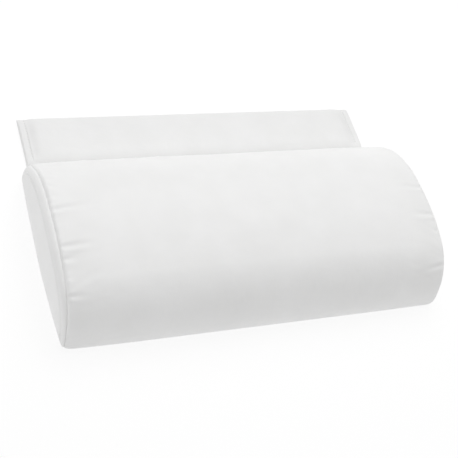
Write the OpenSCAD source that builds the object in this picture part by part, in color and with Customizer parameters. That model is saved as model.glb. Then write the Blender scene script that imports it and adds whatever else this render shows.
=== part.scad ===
// Flat-backed head bolster for a lounger, with a weighted flap that hangs over the backrest.
// Frame: X along the bolster, Y from its lower edge to the flap, Z up from its flat back.
// Origin: middle of the outer box, on the plane of the back. Millimetres.

/* [Bolster] */
// Length over the two end panels, with their topstitching
bolster_len = 457; // [450:1:560]
// Radius of the edge between the back and the upper tip
upper_edge_r = 10; // [10:0.5:14]
// Radius of the upper tip
tip_r = 45; // [44:1:50]
// Direction in which the tip's arc ends, from the back's plane
tip_turn = 35; // [30:1:40]
// Radius of the upper shoulder
shoulder_r = 95; // [94:1:104]
// Direction in which the shoulder's arc ends
shoulder_turn = 80; // [78:1:81]
// Radius of the crown
crown_r = 250; // [235:1:265]
// Direction in which the crown's arc ends
crown_turn = 104; // [102:1:105]
// Radius of the lower front
front_r = 64; // [60:1:64]
// Radius of the edge between the back and the lower front
lower_edge_r = 8; // [7.8:0.1:8.4]

/* [Cover and filling] */
// Thickness of the vinyl cover
cover_t = 1.2; // [0.9:0.1:1.4]
// Thickness of the fibre wrap over the foam
fibre_t = 2.4; // [2:0.1:3]
// Height above the back at which the fibre wrap ends
fibre_foot = 12; // [11:1:18]
// Distance of the end panels' topstitching from their edge
end_stitch_in = 7; // [5:0.1:7]
// Width of a row of stitches
stitch_w = 0.7; // [0.5:0.1:0.8]
// Height of a row of stitches above the cover
stitch_t = 0.35; // [0.2:0.05:0.4]

/* [Flap] */
// Distance from the bolster's upper tip to the flap's outer edge
flap_reach = 77.5; // [77:0.5:100]
// Width of the flap
flap_w = 443; // [430:1:450]
// Thickness of the flap's pouch
pouch_t = 8.5; // [8.4:0.1:10]
// Width of the thinner hem at each side of the flap
hem_w = 10; // [8:0.5:12]
// Thickness of the hem
hem_t = 6; // [5:0.5:7]
// Length over which the pouch thins out to its hems
pouch_fade_x = 8; // [6:1:12]
// Length over which the pouch thins out to its web
pouch_fade_y = 12; // [10:1:13]
// Distance from the bolster's tip to the line on which the flap folds
fold_out = 2; // [2:0.5:3]
// Width of a weight across the flap
weight_h = 46; // [40:1:46]
// Thickness of a weight
weight_t = 3; // [2:0.5:3]

/* [Zip] */
// Length of the zip's opening
zip_len = 401; // [300:1:401]
// Width of the opening that the zip closes
zip_gap = 13; // [12:0.5:14]
// Depth of the shallow valley that the zip lies in
valley_z = 4.3; // [4.2:0.1:4.6]
// Half width of the valley's floor
valley_floor = 12; // [11.5:0.5:14]
// Half width of the valley at the back's surface
valley_mouth = 20; // [18:1:26]
// Distance between two teeth of one side
tooth_pitch = 4; // [4:0.1:4.5]
// Length of the slider
slider_len = 14; // [14:0.5:16]
// Length of the pull, from its pivot
pull_len = 26; // [20:1:30]

/* [Hidden] */

gap = 0.1;         // clearance between two layers
arc_step = 6;      // largest turn between two points of an arc, degrees
eps = 1;           // how far a cutter runs past what it cuts

function along(a) = [cos(a), sin(a)];

// Points of an arc from direction a0 up to, but not at, direction a1
function arc(centre, r, a0, a1) =
    let (n = ceil((a1 - a0) / arc_step))
    [for (i = [0:n - 1]) centre + r * along(a0 + (a1 - a0) * i / n)];
function flipped(path) = [for (i = [len(path) - 1:-1:0]) path[i]];
function lifted(path, dz) = [for (p = path) p + [0, dz]];
function band(path, t) = concat(path, flipped(lifted(path, t)));

// Section of the bolster: five arcs that meet without a corner, from the upper back edge
// over the crown to the lower front. The upper tip is at y = 0 until the shift below.
turns = [-90, 0, tip_turn, shoulder_turn, crown_turn, 180];
radii = [upper_edge_r, tip_r, shoulder_r, crown_r, front_r];
function centre_from_tip(k) =
    k == 0 ? [-upper_edge_r, upper_edge_r]
           : centre_from_tip(k - 1) + (radii[k - 1] - radii[k]) * along(turns[k]);
bolster_h = front_r - centre_from_tip(4).x;
depth_at_crown = centre_from_tip(3).y + crown_r;

overall_y = bolster_h + flap_reach;
tip_y = overall_y / 2 - flap_reach;
low_y = tip_y - bolster_h;
function centre(k) = centre_from_tip(k) + [tip_y, 0];
lower_edge = [low_y + lower_edge_r, lower_edge_r];
upper_edge_y = tip_y - upper_edge_r;

function section(inset) = concat(
    [for (k = [0:4]) each arc(centre(k), radii[k] - inset, turns[k], turns[k + 1])],
    [[low_y + inset, centre(4).y]],
    arc(lower_edge, lower_edge_r - inset, 180, 270),
    [[lower_edge.x, inset]]);

// Along the length
shell_end = bolster_len / 2 - stitch_t;          // outer face of an end panel
inner_end = shell_end - cover_t - gap;           // end of the main panel and the filling
fibre_in = cover_t + gap;
foam_in = fibre_in + fibre_t + gap;

// Zip, in the valley along the middle of the back
zip_y = (tip_y + low_y) / 2;
tape_z = valley_z + cover_t + gap;               // underside of the tape
tape_t = 0.6;
zip_z = tape_z + tape_t / 2;                     // middle plane of the zip
tape_in = 3.3;                                   // from the zip's middle to the tape's edge
tape_w = 9.7;
tape_past = 4;                                   // how far the tape runs past the opening
tooth_root = 1.6;                                // from the zip's middle to the teeth's feet
tooth_past = 1.2;                                // how far a tooth reaches past the middle
tooth_w = 1.75;
tooth_t = 2.6;
chain_in = 3.2;                                  // outer edge of the teeth's strip
stop_len = 2.5;
stop_w = 1.4;
stop_t = 2.4;
stop_at = 2.5;                                   // from the zip's middle to a stop's middle
stop_gap = 0.5;
box_len = 4;
box_w = 6;
channel_h = 3;                                   // clear height inside the slider
plate_t = 0.7;
slider_w = 10;
slider_margin = 5.5;
slider_x0 = zip_len / 2 - slider_len - slider_margin;  // the slider's back end, zip closed
slider_flange_w = 0.8;
slider_flange_h = 0.8;
wedge_len = 3.2;
chain_margin = 7;
chain_end = slider_x0 + slider_len - wedge_len - stop_len - stop_gap;
chain_start = zip_len / 2 - chain_margin;        // the chain's other end is at minus this
tooth_count = floor((chain_end + chain_start) / tooth_pitch - 1);
slider_low = zip_z - channel_h / 2 - plate_t;    // the slider's outer face
bridge_w = 2.4;
bridge_bar = 0.9;
bridge_open_x = 5;
bridge_open_z = 1.6;
bridge_leg = 1;
pivot_x = slider_x0 + slider_len / 2;
pivot_z = slider_low - bridge_open_z / 2;
pull_t = 1.2;
pull_w = 7;
pull_eye_w = 3.2;
pull_eye_end = 4.3;
pull_arm_w = 1;
pull_hole_d = 3.2;

// Flap
fold_y = tip_y + fold_out;
fold_clear_in = 4;                               // bare web on the bolster's side of the fold
fold_clear_out = 3;                              // and on the flap's side
web_past_fold = 6;
web_end_y = fold_y + web_past_fold;
web_stitch_in = 2;                               // from the web's end to its stitches
web_stitch_side = 3;                             // and from the flap's sides
pouch_y = web_end_y + pouch_fade_y;              // the pouch has its whole thickness from here
flap_end_y = overall_y / 2;
pouch_r = pouch_t / 2;
hem_x = flap_w / 2 - hem_w;
top_x = hem_x - pouch_fade_x;                    // the pouch has its whole thickness up to here
hem_stitch_out = 1;                              // from the hem's inner edge to its stitches
fade_slope_y = (pouch_t - cover_t) / pouch_fade_y;
weight_count = 4;
weight_corner_r = 5;
weight_play = 4;
sleeve_wall = 0.5;
sleeve_t = weight_t + 2 * sleeve_wall + 2 * gap;
sleeve_y0 = pouch_y + gap;
sleeve_end_play = 1.5;
sleeve_side_play = 4;
sleeve_y1 = flap_end_y - pouch_r - sleeve_end_play;
sleeve_w = flap_w - 2 * (hem_w + pouch_fade_x + sleeve_side_play);
cell_w = (sleeve_w - sleeve_wall) / weight_count;
pad_z = cover_t + sleeve_t + 2 * gap;
pad_in = cover_t + gap;                          // from the flap's outer face to the pad

// A plane shape, drawn in y and z, pulled out along x from the middle
module pulled(length) {
    rotate([90, 0, 90])
        linear_extrude(length, center = true)
            children();
}

// A box between two opposite corners
module block(a, b) {
    translate(a)
        cube(b - a);
}

// Cover

module main_panel() {
    color("white")
        pulled(2 * inner_end)
            difference() {
                polygon(section(0));
                polygon(section(cover_t));
                translate([lower_edge.x, -eps])
                    square([tip_y - lower_edge.x + eps, cover_t + gap + eps]);
            }
}

module end_panel(side) {
    color("whitesmoke")
        translate([side * (shell_end - cover_t / 2), 0, 0])
            pulled(cover_t)
                polygon(section(0));
}

module end_panel_left() {
    end_panel(-1);
}

module end_panel_right() {
    end_panel(1);
}

module end_topstitch(side) {
    color("gainsboro")
        translate([side * (shell_end + stitch_t / 2), 0, 0])
            pulled(stitch_t)
                difference() {
                    polygon(section(end_stitch_in));
                    polygon(section(end_stitch_in + stitch_w));
                }
}

module end_topstitch_left() {
    end_topstitch(-1);
}

module end_topstitch_right() {
    end_topstitch(1);
}

// One side of the valley, from the zip's middle outwards. side is 1 above the zip, -1 below
function valley_side(side) = [
    [zip_y + side * gap / 2, valley_z],
    [zip_y + side * valley_floor, valley_z],
    [zip_y + side * valley_mouth, 0]];

module zip_opening() {
    block([-zip_len / 2, zip_y - zip_gap / 2, -eps],
          [zip_len / 2, zip_y + zip_gap / 2, tape_z]);
}

module back_panel(side, far_y) {
    color("whitesmoke")
        difference() {
            pulled(2 * inner_end)
                polygon(band(concat(valley_side(side), [[far_y, 0]]), cover_t));
            zip_opening();
        }
}

module back_panel_upper() {
    back_panel(1, upper_edge_y - gap);
}

module back_panel_lower() {
    back_panel(-1, lower_edge.x + gap);
}

// Filling

module foam_core() {
    valley_top = [for (side = [-1, 1]) lifted(valley_side(side), fibre_in)];
    color("khaki")
        pulled(2 * inner_end - 2 * gap)
            difference() {
                polygon(section(fibre_in));
                difference() {
                    translate([low_y - eps, fibre_foot - gap])
                        square([bolster_h + 2 * eps, depth_at_crown]);
                    polygon(section(foam_in));
                }
                polygon(concat(flipped(valley_top[0]), valley_top[1],
                               [[zip_y + valley_mouth, -eps], [zip_y - valley_mouth, -eps]]));
                translate([zip_y - tape_in - tape_w - eps, 0])
                    square([2 * (tape_in + tape_w + eps), tape_z + tape_t + gap]);
                translate([zip_y - slider_w / 2 - eps, 0])
                    square([slider_w + 2 * eps, zip_z + channel_h / 2 + plate_t + 4 * gap]);
            }
}

module fibre_wrap() {
    color("ivory")
        pulled(2 * inner_end - 2 * gap)
            difference() {
                polygon(section(fibre_in));
                polygon(section(fibre_in + fibre_t));
                translate([low_y - eps, -eps])
                    square([bolster_h + 2 * eps, fibre_foot + eps]);
            }
}

// Zip

module zip_tape(side) {
    y0 = zip_y + side * tape_in;
    y1 = y0 + side * tape_w;
    color("white")
        block([-zip_len / 2 - tape_past, min(y0, y1), tape_z],
              [zip_len / 2 + tape_past, max(y0, y1), tape_z + tape_t]);
}

module zip_tape_upper() {
    zip_tape(1);
}

module zip_tape_lower() {
    zip_tape(-1);
}

// One side's teeth on their strip, as a comb. The other side's teeth stand half a pitch on
module zip_teeth(side) {
    first_x = -chain_start + (side > 0 ? gap : gap + tooth_pitch / 2);
    comb = [for (i = [0:tooth_count - 1], corner = [0:3])
        let (x = first_x + i * tooth_pitch + (corner > 1 ? tooth_w : 0))
        [x, (corner == 1 || corner == 2) ? -tooth_past : tooth_root]];
    outline = concat([[-chain_start, chain_in], [-chain_start, tooth_root]], comb,
                     [[chain_end, tooth_root], [chain_end, chain_in]]);
    color("white")
        translate([0, zip_y, zip_z - tooth_t / 2])
            linear_extrude(tooth_t)
                polygon([for (p = outline) [p.x, side * p.y]]);
}

module zip_teeth_upper() {
    zip_teeth(1);
}

module zip_teeth_lower() {
    zip_teeth(-1);
}

module zip_topstitch(side) {
    stitch_y = zip_y + side * (zip_gap / 2 + valley_floor) / 2;
    color("gainsboro")
        block([-inner_end + end_stitch_in, stitch_y - stitch_w / 2, valley_z - stitch_t],
              [inner_end - end_stitch_in, stitch_y + stitch_w / 2, valley_z]);
}

module zip_topstitch_upper() {
    zip_topstitch(1);
}

module zip_topstitch_lower() {
    zip_topstitch(-1);
}

module zip_top_stops() {
    color("white")
        for (side = [-1, 1])
            translate([chain_end + gap, zip_y + side * stop_at - stop_w / 2, zip_z - stop_t / 2])
                cube([stop_len, stop_w, stop_t]);
}

module zip_bottom_box() {
    color("white")
        block([-chain_start - box_len, zip_y - box_w / 2, zip_z - channel_h / 2],
              [-chain_start - gap, zip_y + box_w / 2, zip_z + channel_h / 2]);
}

module zip_slider() {
    x0 = slider_x0;
    x1 = slider_x0 + slider_len;
    half_w = slider_w / 2;
    half_h = channel_h / 2;
    color("silver")
        union() {
            for (level = [-1, 1]) {
                // plates inside and outside of the teeth
                translate([x0, zip_y - half_w, zip_z + level * (half_h + plate_t / 2) - plate_t / 2])
                    cube([slider_len, slider_w, plate_t]);
                // flanges that keep the teeth in, with room for the tape between them
                for (side = [-1, 1])
                    translate([x0,
                               zip_y + side * (half_w - slider_flange_w / 2) - slider_flange_w / 2,
                               zip_z + level * (half_h - slider_flange_h / 2) - slider_flange_h / 2])
                        cube([slider_len, slider_flange_w, slider_flange_h]);
            }
            // wedge that parts the teeth
            block([x1 - wedge_len, zip_y - tooth_root, zip_z - half_h],
                  [x1, zip_y + tooth_root, zip_z + half_h]);
            // bridge that holds the pull
            for (side = [-1, 1])
                translate([pivot_x + side * (bridge_open_x + bridge_leg) / 2 - bridge_leg / 2,
                           zip_y - bridge_w / 2, slider_low - bridge_open_z - bridge_bar])
                    cube([bridge_leg, bridge_w, bridge_open_z + bridge_bar]);
            translate([pivot_x - bridge_open_x / 2 - bridge_leg, zip_y - bridge_w / 2,
                       slider_low - bridge_open_z - bridge_bar])
                cube([bridge_open_x + 2 * bridge_leg, bridge_w, bridge_bar]);
        }
}

module zip_pull() {
    color("silver")
        translate([pivot_x, zip_y, pivot_z]) {
            // round bar through the bridge
            rotate([90, 0, 0])
                cylinder(h = pull_eye_w + 2 * pull_arm_w, r = pull_t / 2, center = true, $fn = 32);
            difference() {
                union() {
                    translate([-pull_len + pull_w / 2, -pull_w / 2, -pull_t / 2])
                        cube([pull_len - pull_w / 2 - pull_eye_end, pull_w, pull_t]);
                    translate([-pull_len + pull_w / 2, 0, 0])
                        cylinder(h = pull_t, d = pull_w, center = true, $fn = 48);
                    for (side = [-1, 1])
                        translate([-pull_eye_end - eps,
                                   side * (pull_eye_w + pull_arm_w) / 2 - pull_arm_w / 2,
                                   -pull_t / 2])
                            cube([pull_eye_end + eps - gap, pull_arm_w, pull_t]);
                }
                translate([-pull_len + pull_w / 2, 0, 0])
                    cylinder(h = 2 * pull_t, d = pull_hole_d, center = true, $fn = 32);
            }
        }
}

// Flap

// The strip that joins the flap to the bolster, on the bolster's side of the fold
module flap_root_strip() {
    color("white") {
        block([-inner_end, upper_edge_y, 0],
              [inner_end, tip_y - upper_edge_r / 2, cover_t]);
        block([-flap_w / 2, tip_y - upper_edge_r / 2 - gap, 0],
              [flap_w / 2, fold_y - fold_clear_in, cover_t]);
    }
}

// Side view of the pouch, thinned by inset top and bottom: a wedge at the web, and the round
// folded edge outwards
function pouch_side(inset) = concat(
    [[pouch_y - (pouch_t - 2 * inset) / fade_slope_y, inset]],
    arc([flap_end_y - pouch_r, pouch_r], pouch_r - inset, -90, 90),
    [[flap_end_y - pouch_r, pouch_t - inset], [pouch_y, pouch_t - inset]]);

// Upper line of the flap's end view, from right to left: the hems and the thicker pouch.
// inset is measured downwards from the flap's face, and half is where the line ends
function flap_top_line(inset, half) = [
    [half, hem_t - inset], [hem_x, hem_t - inset], [top_x, pouch_t - inset],
    [-top_x, pouch_t - inset], [-hem_x, hem_t - inset], [-half, hem_t - inset]];

// End view of the pouch
function pouch_end_view(inset) =
    let (half = flap_w / 2 - inset)
    concat([[-half, inset], [half, inset]], flap_top_line(inset, half));

// A profile in x and z, pulled out along y between two places
module pulled_across(y0, y1) {
    translate([0, y1, 0])
        rotate([90, 0, 0])
            linear_extrude(y1 - y0)
                children();
}

module pouch(inset) {
    intersection() {
        pulled(flap_w)
            polygon(pouch_side(inset));
        pulled_across(0, flap_end_y)
            polygon(pouch_end_view(inset));
    }
}

module flap_cover() {
    color("white") {
        difference() {
            pouch(0);
            pouch(cover_t);
        }
        block([-flap_w / 2, fold_y + fold_clear_out, 0],
              [flap_w / 2, web_end_y + gap, cover_t]);
    }
}

// The pad over the weights, which reaches down to the lower cover beside them
module flap_foam() {
    side_x = flap_w / 2 - pad_in;
    step_x = sleeve_w / 2 + gap;
    color("khaki")
        pulled_across(sleeve_y0, sleeve_y1)
            polygon(concat([[-side_x, pad_in], [-step_x, pad_in], [-step_x, pad_z],
                            [step_x, pad_z], [step_x, pad_in], [side_x, pad_in]],
                           flap_top_line(pad_in, side_x)));
}

module weight_sleeve() {
    color("lightgrey")
        difference() {
            block([-sleeve_w / 2, sleeve_y0, cover_t + gap],
                  [sleeve_w / 2, sleeve_y1, cover_t + gap + sleeve_t]);
            for (i = [0:weight_count - 1])
                translate([-sleeve_w / 2 + sleeve_wall + i * cell_w,
                           sleeve_y0 + sleeve_wall,
                           cover_t + gap + sleeve_wall])
                    cube([cell_w - sleeve_wall,
                          sleeve_y1 - sleeve_y0 - 2 * sleeve_wall,
                          sleeve_t - 2 * sleeve_wall]);
        }
}

// A flat steel weight with round corners, in the sleeve's cell number i
module weight(i) {
    long = cell_w - sleeve_wall - weight_play;
    color("dimgrey")
        translate([-sleeve_w / 2 + sleeve_wall / 2 + (i + 0.5) * cell_w,
                   (sleeve_y0 + sleeve_y1) / 2,
                   cover_t + 2 * gap + sleeve_wall])
            linear_extrude(weight_t)
                union() {
                    square([long, weight_h - 2 * weight_corner_r], center = true);
                    square([long - 2 * weight_corner_r, weight_h], center = true);
                    for (sx = [-1, 1], sy = [-1, 1])
                        translate([sx * (long / 2 - weight_corner_r),
                                   sy * (weight_h / 2 - weight_corner_r)])
                            circle(weight_corner_r, $fn = 48);
                }
}

module flap_hem_stitch(side) {
    color("gainsboro")
        translate([side * (hem_x + hem_stitch_out) - stitch_w / 2, pouch_y, hem_t])
            cube([stitch_w, flap_end_y - pouch_r - pouch_y, stitch_t]);
}

module flap_hem_stitch_left() {
    flap_hem_stitch(-1);
}

module flap_hem_stitch_right() {
    flap_hem_stitch(1);
}

module flap_web_stitch() {
    color("gainsboro")
        translate([-flap_w / 2 + web_stitch_side, web_end_y - web_stitch_in, cover_t])
            cube([flap_w - 2 * web_stitch_side, stitch_w, stitch_t]);
}

main_panel();
end_panel_left();
end_panel_right();
back_panel_upper();
back_panel_lower();
foam_core();
fibre_wrap();
end_topstitch_left();
end_topstitch_right();
zip_tape_upper();
zip_tape_lower();
zip_teeth_upper();
zip_teeth_lower();
zip_topstitch_upper();
zip_topstitch_lower();
zip_top_stops();
zip_bottom_box();
zip_slider();
zip_pull();
flap_root_strip();
flap_cover();
flap_foam();
weight_sleeve();
weight(0);  // weight_1
weight(1);  // weight_2
weight(2);  // weight_3
weight(3);  // weight_4
flap_hem_stitch_left();
flap_hem_stitch_right();
flap_web_stitch();
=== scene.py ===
"""Looks of a flat-backed head bolster with a weighted flap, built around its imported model.

Frame: X along the bolster, Y from its lower edge to the flap, Z up from its flat back.
Shapes are worked out in millimetres and written to the meshes in metres.
"""

import math

import bmesh
import bpy
import numpy as np
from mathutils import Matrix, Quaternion, Vector


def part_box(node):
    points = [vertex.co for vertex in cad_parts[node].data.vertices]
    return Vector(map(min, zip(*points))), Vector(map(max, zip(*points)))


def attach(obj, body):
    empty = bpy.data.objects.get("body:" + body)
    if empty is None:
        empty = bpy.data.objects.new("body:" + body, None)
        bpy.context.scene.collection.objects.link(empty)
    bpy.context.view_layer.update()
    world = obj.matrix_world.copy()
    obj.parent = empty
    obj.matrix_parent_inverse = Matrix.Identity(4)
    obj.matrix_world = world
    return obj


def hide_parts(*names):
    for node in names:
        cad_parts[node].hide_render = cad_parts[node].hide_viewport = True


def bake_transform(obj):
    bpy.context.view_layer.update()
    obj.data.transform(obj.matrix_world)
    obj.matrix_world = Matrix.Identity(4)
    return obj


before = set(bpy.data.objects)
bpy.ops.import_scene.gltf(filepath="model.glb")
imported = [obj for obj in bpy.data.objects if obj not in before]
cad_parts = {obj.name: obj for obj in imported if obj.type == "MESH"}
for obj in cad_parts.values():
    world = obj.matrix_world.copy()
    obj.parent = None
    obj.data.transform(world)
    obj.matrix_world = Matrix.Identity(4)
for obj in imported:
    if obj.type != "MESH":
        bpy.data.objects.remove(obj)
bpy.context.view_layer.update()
MM = 0.001
SCENE = bpy.context.scene


def box_mm(node):
    low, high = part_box(node)
    return np.array(low) / MM, np.array(high) / MM


# ---------------------------------------------------------------- camera

CAMERA_AZIMUTH = math.radians(228.44)
CAMERA_ELEVATION = math.radians(51.79)
CAMERA_ROLL = math.radians(30.15)
CAMERA_PLACE = (-0.4958, -0.5775, 0.9487)
CAMERA_LENS = 81.15


def make_camera():
    data = bpy.data.cameras.new("camera")
    data.lens = CAMERA_LENS
    data.sensor_width = 36
    camera = bpy.data.objects.new("camera", data)
    SCENE.collection.objects.link(camera)
    flat = math.cos(CAMERA_ELEVATION)
    back = Vector((flat * math.cos(CAMERA_AZIMUTH), flat * math.sin(CAMERA_AZIMUTH),
                   math.sin(CAMERA_ELEVATION)))
    roll = Quaternion((0, 0, 1), CAMERA_ROLL)
    camera.rotation_mode = "QUATERNION"
    camera.rotation_quaternion = (-back).to_track_quat("-Z", "Y") @ roll
    camera.location = CAMERA_PLACE
    SCENE.camera = camera


make_camera()

# ---------------------------------------------------------------- small helpers


def smoothstep(t):
    t = np.clip(t, 0, 1)
    return t * t * (3 - 2 * t)


def bell(distance, width):
    return np.exp(-(distance / width) ** 2)


def smooth_table(at, stations, values, spread):
    """A table of values read off with its corners rounded over spread on each side."""
    shifts = np.linspace(-spread, spread, 9)
    return np.mean([np.interp(at + shift, stations, values) for shift in shifts], axis=0)


def path_lengths(points):
    """How far along a line each of its points lies."""
    steps = np.linalg.norm(np.diff(points, axis=0), axis=1)
    return np.concatenate([[0], np.cumsum(steps)])


def both_sides(side, count):
    """Places along x: those of the right side, from its end inwards, and the same on the left,
    with count evenly spread from the innermost on one side to that on the other."""
    between = np.linspace(-side[-1], side[-1], count)[1:-1]
    return np.concatenate([-side, between, side[::-1]])


def add_mesh(name, points, faces, smooth=True):
    """An object whose points are given in millimetres."""
    mesh = bpy.data.meshes.new(name)
    mesh.from_pydata((np.asarray(points, float).reshape(-1, 3) * MM).tolist(), [], faces)
    mesh.validate()
    if smooth:
        mesh.shade_smooth()
    obj = bpy.data.objects.new(name, mesh)
    SCENE.collection.objects.link(obj)
    return obj


def grid_faces(rows, columns, closed=False, flip=False):
    """Quads over points[row, column]. closed joins the last row to the first."""
    index = np.arange(rows * columns).reshape(rows, columns)
    lower = np.roll(index, -1, 0) if closed else index[1:]
    upper = index if closed else index[:-1]
    corners = [upper[:, :-1], upper[:, 1:], lower[:, 1:], lower[:, :-1]]
    if flip:
        corners.reverse()
    return np.stack(corners, -1).reshape(-1, 4).tolist()


def grid_object(name, points, closed=False, flip=False, caps=False):
    rows, columns = points.shape[:2]
    faces = grid_faces(rows, columns, closed, flip)
    if caps:
        ring = np.arange(rows) * columns
        faces += [ring.tolist(), (ring + columns - 1)[::-1].tolist()]
    return add_mesh(name, points, faces)


def sheet(x, y, z):
    """Points of a grid from its coordinates, each given in full, by row or by column."""
    return np.stack(np.broadcast_arrays(x, y, z), -1)


def loft(rings):
    """Points and faces of a closed body through equal rings, capped at both ends."""
    rings = np.asarray(rings, float)
    rows, sides = rings.shape[:2]
    index = np.arange(rows * sides).reshape(rows, sides)
    after = np.roll(index, -1, 1)
    faces = np.stack([index[:-1], after[:-1], after[1:], index[1:]], -1).reshape(-1, 4).tolist()
    faces += [index[0][::-1].tolist(), index[-1].tolist()]
    return rings.reshape(-1, 3), faces


def joined(parts):
    points, faces, offset = [], [], 0
    for part_points, part_faces in parts:
        points.append(part_points)
        faces += [[k + offset for k in face] for face in part_faces]
        offset += len(part_points)
    return np.concatenate(points), faces


def clean(obj, merge=0.0005, outward=True):
    """Merges points closer than merge millimetres. outward also turns all faces outwards."""
    work = bmesh.new()
    work.from_mesh(obj.data)
    bmesh.ops.remove_doubles(work, verts=work.verts, dist=merge * MM)
    large = [face for face in work.faces if len(face.verts) > 4]
    if large:
        bmesh.ops.triangulate(work, faces=large)
    if outward:
        bmesh.ops.recalc_face_normals(work, faces=work.faces)
    work.to_mesh(obj.data)
    work.free()
    obj.data.shade_smooth()


def thicken(obj, thickness):
    """Gives a sheet its thickness on the inner side of its faces."""
    modifier = obj.modifiers.new("thickness", "SOLIDIFY")
    modifier.thickness = thickness * MM
    modifier.offset = -1


def finish_piece(obj, body, material):
    obj.data.materials.append(material)
    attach(obj, body)


# ---------------------------------------------------------------- materials


class Nodes:
    """A short way to write a node material."""

    def __init__(self, name):
        self.material = bpy.data.materials.new(name)
        self.material.use_nodes = True
        self.tree = self.material.node_tree
        self.shader = self.tree.nodes["Principled BSDF"]
        self.place = self.add("ShaderNodeTexCoord").outputs["Object"]

    def feed(self, socket, value):
        """Sets a socket, or links it where the value is another node's output."""
        if isinstance(value, bpy.types.NodeSocket):
            self.tree.links.new(value, socket)
        else:
            socket.default_value = value

    def add(self, kind, **settings):
        """A node with its properties and inputs. An underscore stands for a space."""
        node = self.tree.nodes.new(kind)
        for key, value in settings.items():
            if hasattr(node, key):
                setattr(node, key, value)
            else:
                self.feed(node.inputs[key.replace("_", " ")], value)
        return node

    def noise(self, per_metre, detail=2.0, rough=0.5):
        node = self.add("ShaderNodeTexNoise", Vector=self.place, Scale=per_metre, Detail=detail,
                        Roughness=rough)
        return node.outputs["Fac"]

    def cells(self, per_metre):
        node = self.add("ShaderNodeTexVoronoi", Vector=self.place, Scale=per_metre)
        return node.outputs["Distance"]

    def waves(self, per_metre, direction, distortion=0.0):
        node = self.add("ShaderNodeTexWave", bands_direction=direction, Vector=self.place,
                        Scale=per_metre, Distortion=distortion)
        return node.outputs["Fac"]

    def spread(self, source, low, high, start=0.3, end=0.7):
        """source from start to end, mapped to low to high."""
        node = self.add("ShaderNodeMapRange", Value=source, From_Min=start, From_Max=end,
                        To_Min=low, To_Max=high)
        return node.outputs["Result"]

    def maths(self, operation, a, b):
        node = self.add("ShaderNodeMath", operation=operation)
        self.feed(node.inputs[0], a)
        self.feed(node.inputs[1], b)
        return node.outputs["Value"]

    def tones(self, share, dark, light):
        node = self.add("ShaderNodeMix", data_type="RGBA", Factor=share, A=(*dark, 1), B=(*light, 1))
        self.feed(self.shader.inputs["Base Color"], node.outputs["Result"])

    def bump(self, height, depth_mm, over=None):
        """A normal for relief of that depth, laid over another normal where one is given."""
        node = self.add("ShaderNodeBump", Height=height, Strength=1.0, Distance=depth_mm * MM)
        if over is not None:
            self.feed(node.inputs["Normal"], over)
        return node.outputs["Normal"]

    def finish(self, normal, roughness, **settings):
        for name, value in dict(Normal=normal, Roughness=roughness, **settings).items():
            self.feed(self.shader.inputs[name.replace("_", " ")], value)
        return self.material


def vinyl_material(name, painted_shade_scale):
    """White coated fabric: a fine pebble grain, faint creases and a satin surface. The scale below 1 darkens
    the whole colour as painted shade.
    """
    n = Nodes(name)
    warp = n.noise(180, 3)
    grain = n.cells(1150)
    pores = n.noise(2600, 2)
    handling = n.noise(26, 4)
    dark, light = (0.905, 0.905, 0.9), (0.935, 0.935, 0.932)
    n.tones(n.spread(handling, 0, 1), [c * painted_shade_scale for c in dark], [c * painted_shade_scale for c in light])
    soft = n.bump(warp, 0.10)
    pebble = n.bump(grain, 0.05, over=soft)
    fine = n.bump(pores, 0.02, over=pebble)
    return n.finish(fine, n.spread(n.noise(70, 3), 0.42, 0.54), Specular_IOR_Level=0.42)


def thread_material():
    """White polyester thread of two plies."""
    n = Nodes("white_thread")
    ply = n.waves(900, "DIAGONAL", distortion=1.5)
    fuzz = n.noise(5200, 3)
    n.tones(n.spread(n.maths("ADD", ply, fuzz), 0, 1, 0.4, 1.4), (0.66, 0.66, 0.655), (0.86, 0.86, 0.855))
    return n.finish(n.bump(fuzz, 0.03, over=n.bump(ply, 0.08)), 0.7, Sheen_Weight=0.25)


def tape_material():
    """Woven zip tape in a fine herringbone."""
    n = Nodes("zip_tape_weave")
    rib = n.waves(330, "X")
    weft = n.waves(520, "DIAGONAL")
    weave = n.maths("MULTIPLY", rib, weft)
    fuzz = n.noise(3000, 3)
    n.tones(n.spread(n.maths("ADD", weave, fuzz), 0, 1, 0.3, 1.3), (0.7, 0.7, 0.69), (0.88, 0.88, 0.87))
    return n.finish(n.bump(fuzz, 0.03, over=n.bump(weave, 0.12)), 0.8, Sheen_Weight=0.2)


def plastic_material():
    """Moulded zip plastic, slightly milky."""
    n = Nodes("zip_plastic_moulded")
    flow = n.noise(420, 3)
    n.tones(n.spread(flow, 0, 1), (0.82, 0.82, 0.81), (0.89, 0.89, 0.88))
    return n.finish(n.bump(n.noise(2200, 2), 0.015), n.spread(flow, 0.28, 0.4))


def metal_material():
    """Nickel-plated zinc casting, rubbed and finely scratched."""
    n = Nodes("zip_nickel")
    rub = n.noise(260, 4)
    grain = n.waves(1500, "X", distortion=9)
    n.tones(n.spread(rub, 0, 1), (0.55, 0.54, 0.52), (0.72, 0.71, 0.69))
    rough = n.spread(n.maths("ADD", rub, grain), 0.2, 0.42, 0.4, 1.4)
    return n.finish(n.bump(grain, 0.012), rough, Metallic=1.0)


def foam_material():
    """Open-cell polyurethane foam."""
    n = Nodes("cream_foam")
    cells = n.cells(1400)
    patches = n.noise(40, 4)
    n.tones(n.spread(patches, 0, 1), (0.72, 0.66, 0.48), (0.82, 0.77, 0.6))
    return n.finish(n.bump(cells, 0.5), 0.95)


def fibre_material():
    """Polyester wadding: tangled fine fibres."""
    n = Nodes("white_wadding")
    tangle = n.noise(900, 5, 0.7)
    clumps = n.noise(90, 4)
    n.tones(n.spread(clumps, 0, 1), (0.8, 0.8, 0.78), (0.92, 0.92, 0.9))
    return n.finish(n.bump(tangle, 0.6, over=n.bump(clumps, 1.2)), 0.95, Sheen_Weight=0.4)


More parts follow.
